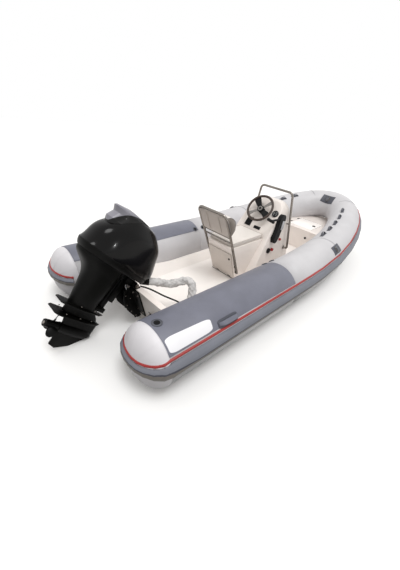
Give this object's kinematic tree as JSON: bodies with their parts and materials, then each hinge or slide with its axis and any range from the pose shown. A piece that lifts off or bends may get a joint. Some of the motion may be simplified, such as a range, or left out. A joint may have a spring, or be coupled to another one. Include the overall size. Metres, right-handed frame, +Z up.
{
  "type": "rigid inflatable boat",
  "caption": "Rigid inflatable boat with a deep-V hull, jockey seat and steering console, bow locker and a tilting, steering outboard motor",
  "frame": {"origin": "on the centreline at the waterline, below the top edge of the transom's aft face", "axes": "+X runs forward to the bow, +Y to port, +Z up from the water"},
  "size_m": [5.1493, 2.0268, 1.3374],
  "materials": {
    "beige_panel": "satin",
    "black_plastic": "matt",
    "boot_grey": "matt",
    "cable_black": "satin",
    "cap_grey": "gloss",
    "cone_fabric": "satin",
    "cream_vinyl": "satin",
    "engine_black": "gloss",
    "gelcoat": "gloss",
    "grey_fabric": "matt",
    "grey_plastic": "matt",
    "grey_rubber": "satin",
    "red_plastic": "gloss",
    "red_rubber": "satin",
    "silver_plastic": "satin",
    "stainless": "polished",
    "tube_fabric": "satin",
    "webbing": "matt",
    "wheel_steel": "satin",
    "white_patch": "satin"
  },
  "bodies": {
    "boat": {"backrest_cushion": "cream_vinyl", "backrest_frame": "stainless", "backrest_panel": "beige_panel", "battery_switch": "black_plastic", "bow_locker": "gelcoat", "bow_tube": "tube_fabric", "carry_handle_port": "grey_rubber", "carry_handle_starboard": "grey_rubber", "clamp_bracket": "engine_black", "console": "gelcoat", "control_cable": "cable_black", "control_plate": "silver_plastic", "d_rings": "stainless", "deck_liner": "gelcoat", "engine_control": "black_plastic", "gauge": "black_plastic", "grab_loops": "webbing", "handrail": "stainless", "hatch_hinges": "stainless", "helm": "black_plastic", "hull": "gelcoat", "lid_hinges": "stainless", "locker_latch": "black_plastic", "name_patches": "white_patch", "red_knobs": "red_plastic", "rigging_boot": "boot_grey", "rubbing_strake": "grey_rubber", "seat_box": "gelcoat", "seat_cushion": "cream_vinyl", "stern_cone_port": "cone_fabric", "stern_cone_starboard": "cone_fabric", "strake_stripe": "red_rubber", "switch_panels": "black_plastic", "tow_eyes": "stainless", "transom": "gelcoat", "tube_panel_port": "grey_fabric", "tube_panel_starboard": "grey_fabric", "tube_patches": "grey_fabric", "tube_port": "tube_fabric", "tube_starboard": "tube_fabric", "valves": "grey_plastic"},
    "bow_lid": {"bow_lid": "gelcoat", "lid_pull": "silver_plastic"},
    "seat_hatch": {"seat_hatch": "beige_panel", "hatch_latch": "black_plastic"},
    "steering_wheel": {"steering_wheel": "wheel_steel"},
    "swivel": {"swivel_bracket": "engine_black"},
    "motor": {"cowl": "engine_black", "cowl_tray": "engine_black", "motor_leg": "engine_black", "gearcase": "engine_black", "motor_cap": "cap_grey"},
    "propeller": {"propeller": "engine_black"},
    "tilt_barrel": {"ram_barrel": "engine_black"},
    "tilt_rod": {"ram_rod": "stainless"}
  },
  "joints": [
    {"name": "motor_tilt", "type": "hinge", "parent": "boat", "child": "swivel", "pos_m": [0.04, 0, 0.45], "axis": [0, 1, 0], "range_deg": [-45, 20], "deforming": ["rigging_boot", "control_cable"]},
    {"name": "motor_steer", "type": "hinge", "parent": "swivel", "child": "motor", "pos_m": [-0.03071, 0, 0.52071], "axis": [0.7071, 0, 0.7071], "range_deg": [-30, 30], "deforming": ["rigging_boot", "control_cable"]},
    {"name": "propeller_spin", "type": "hinge", "parent": "motor", "child": "propeller", "pos_m": [-0.68054, 0, 0.2909], "axis": [0.7071, 0, -0.7071], "continuous": true},
    {"name": "wheel_turn", "type": "hinge", "parent": "boat", "child": "steering_wheel", "pos_m": [1.95265, 0.02, 0.85744], "axis": [0.7989, 0, -0.6015], "range_deg": [-540, 540]},
    {"name": "seat_hatch", "type": "hinge", "parent": "boat", "child": "seat_hatch", "pos_m": [1.38825, 0, 0.11509], "axis": [0, -1, 0], "range_deg": [0, 68]},
    {"name": "bow_lid", "type": "hinge", "parent": "boat", "child": "bow_lid", "pos_m": [3.4, 0.2025, 0.399], "axis": [-1, 0, 0], "range_deg": [0, 100]},
    {"name": "tilt_barrel", "type": "hinge", "parent": "boat", "child": "tilt_barrel", "pos_m": [0.035, 0, 0.172], "axis": [0, 1, 0], "range_deg": [-2, 2]},
    {"name": "tilt_rod", "type": "slide", "parent": "tilt_barrel", "child": "tilt_rod", "axis": [-0.1581, 0, 0.9874], "range_m": [-0.045, 0.025]}
  ],
  "couplings": [
    {"joint": "wheel_turn", "follows": "motor_steer", "ratio": 18},
    {"joint": "tilt_barrel", "follows": "motor_tilt", "ratio": -0.01},
    {"joint": "tilt_rod", "follows": "motor_tilt", "m_per_rad": 0.047}
  ]
}
